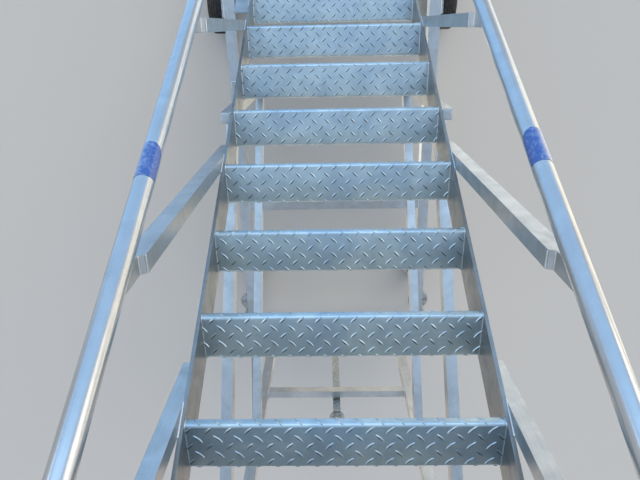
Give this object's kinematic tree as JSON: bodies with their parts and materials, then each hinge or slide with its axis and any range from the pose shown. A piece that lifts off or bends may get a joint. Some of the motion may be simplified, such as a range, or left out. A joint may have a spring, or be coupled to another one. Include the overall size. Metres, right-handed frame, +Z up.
{
  "type": "mobile aircraft stairs",
  "caption": "Steep wheeled boarding stairs with open folded tear-plate treads, round handrails, a guarded landing, swivel castors, screw jacks and a folding tow bar.",
  "frame": {"origin": "on the ground, under the centre of the whole machine's box", "axes": "+X to the climber's right, +Y the way one climbs, towards the aircraft, +Z up"},
  "size_m": [1.41, 2.6478, 3.8052],
  "materials": {
    "bare_aluminium": "mill finish, satin",
    "tear_plate": "raised lens pattern, satin",
    "polished_tube": "polished round tube",
    "zinc_steel": "zinc plated",
    "wheel_metal": "grey paint",
    "black_tyre": "matt rubber",
    "bumper_rubber": "matt rubber"
  },
  "bodies": {
    "frame": {"stringer_left": "bare_aluminium", "stringer_right": "bare_aluminium", "stringer_feet": "bare_aluminium", "flight_treads": "tear_plate", "side_bracket": "bare_aluminium", "posts_left": "bare_aluminium", "posts_right": "bare_aluminium", "handrail_left": "polished_tube", "handrail_right": "polished_tube", "landing_deck": "tear_plate", "landing_side_beams": "bare_aluminium", "landing_cross_beams": "bare_aluminium", "guard_posts": "bare_aluminium", "knee_rails": "polished_tube", "toe_boards": "bare_aluminium", "gate_ears": "zinc_steel", "landing_bumpers": "bumper_rubber", "rear_legs": "bare_aluminium", "flight_props": "bare_aluminium", "side_diagonals": "bare_aluminium", "rear_cross_bars": "bare_aluminium", "outrigger_struts": "bare_aluminium", "base_rail_left": "bare_aluminium", "base_rail_right": "bare_aluminium", "base_cross_tubes": "bare_aluminium", "axle_brackets": "zinc_steel", "castor_plates": "zinc_steel", "jack_sleeves": "zinc_steel", "tow_ears": "zinc_steel"},
    "wheel_left": {"wheel_rim_left": "wheel_metal", "wheel_tyre_left": "black_tyre"},
    "wheel_right": {"wheel_rim_right": "wheel_metal", "wheel_tyre_right": "black_tyre"},
    "castor_left": {"castor_fork_left": "zinc_steel"},
    "castor_right": {"castor_fork_right": "zinc_steel"},
    "castor_wheel_left": {"castor_hub_left": "wheel_metal", "castor_tyre_left": "black_tyre"},
    "castor_wheel_right": {"castor_hub_right": "wheel_metal", "castor_tyre_right": "black_tyre"},
    "jack_front_left": {"jack_front_left": "zinc_steel"},
    "jack_rear_left": {"jack_rear_left": "zinc_steel"},
    "jack_front_right": {"jack_front_right": "zinc_steel"},
    "jack_rear_right": {"jack_rear_right": "zinc_steel"},
    "tow_bar": {"tow_bar": "zinc_steel"},
    "gate_bar": {"gate_bar": "polished_tube"}
  },
  "joints": [
    {"name": "wheel_left_roll", "type": "hinge", "parent": "frame", "child": "wheel_left", "pos_m": [-0.638, -0.79562, 0.15], "axis": [1, 0, 0], "continuous": true},
    {"name": "castor_left_swivel", "type": "hinge", "parent": "frame", "child": "castor_left", "pos_m": [-0.55, 0.95398, 0.23], "axis": [0, 0, 1], "continuous": true},
    {"name": "castor_left_roll", "type": "hinge", "parent": "castor_left", "child": "castor_wheel_left", "pos_m": [-0.55, 0.90898, 0.1], "axis": [1, 0, 0], "continuous": true},
    {"name": "jack_front_left_wind", "type": "slide", "parent": "frame", "child": "jack_front_left", "axis": [0, 0, 1], "range_m": [0, 0.15]},
    {"name": "jack_rear_left_wind", "type": "slide", "parent": "frame", "child": "jack_rear_left", "axis": [0, 0, 1], "range_m": [0, 0.15]},
    {"name": "wheel_right_roll", "type": "hinge", "parent": "frame", "child": "wheel_right", "pos_m": [0.638, -0.79562, 0.15], "axis": [1, 0, 0], "continuous": true},
    {"name": "castor_right_swivel", "type": "hinge", "parent": "frame", "child": "castor_right", "pos_m": [0.55, 0.95398, 0.23], "axis": [0, 0, 1], "continuous": true},
    {"name": "castor_right_roll", "type": "hinge", "parent": "castor_right", "child": "castor_wheel_right", "pos_m": [0.55, 0.90898, 0.1], "axis": [1, 0, 0], "continuous": true},
    {"name": "jack_front_right_wind", "type": "slide", "parent": "frame", "child": "jack_front_right", "axis": [0, 0, 1], "range_m": [0, 0.15]},
    {"name": "jack_rear_right_wind", "type": "slide", "parent": "frame", "child": "jack_rear_right", "axis": [0, 0, 1], "range_m": [0, 0.15]},
    {"name": "tow_bar_fold", "type": "hinge", "parent": "frame", "child": "tow_bar", "pos_m": [0, 1.28898, 0.3], "axis": [1, 0, 0], "range_deg": [-92, 0]},
    {"name": "gate_bar_swing", "type": "hinge", "parent": "frame", "child": "gate_bar", "pos_m": [-0.36, 1.22898, 3.614], "axis": [0, 0, 1], "range_deg": [-90, 0]}
  ]
}
